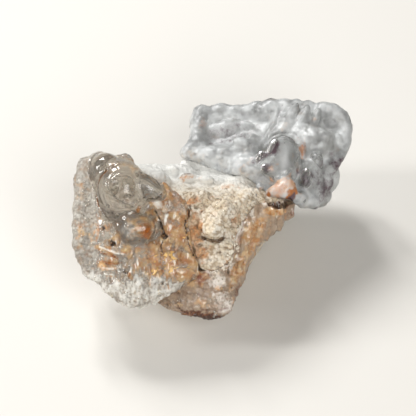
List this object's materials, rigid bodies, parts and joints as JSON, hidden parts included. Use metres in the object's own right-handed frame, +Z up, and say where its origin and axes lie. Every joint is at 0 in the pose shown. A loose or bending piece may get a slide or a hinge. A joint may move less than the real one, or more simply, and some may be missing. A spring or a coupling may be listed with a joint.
{
  "type": "hyalite opal specimen",
  "caption": "Miniature hyalite opal specimen: glassy knobbly opal lobes on pale host rock, amber stained at the foot, resting on a broken flat face.",
  "frame": {"origin": "middle of the specimen's box, at the height of the broken face it rests on", "axes": "+Z up, display side towards -Y, +X from the clear near lobe towards the milky far lobe"},
  "size_m": [0.029, 0.0262, 0.0169],
  "materials": {
    "near_hyalite": "clear glassy opal with amber depths, frosted round the rind",
    "far_hyalite": "milky translucent opal with glossy knobs",
    "stained_opal": "iron-stained translucent opal, glossy where broken",
    "host_rock": "crumbly, matt, cream"
  },
  "bodies": {
    "root": {"near_hyalite": "near_hyalite", "far_hyalite": "far_hyalite", "stained_opal": "stained_opal", "host_rock": "host_rock"}
  },
  "joints": []
}
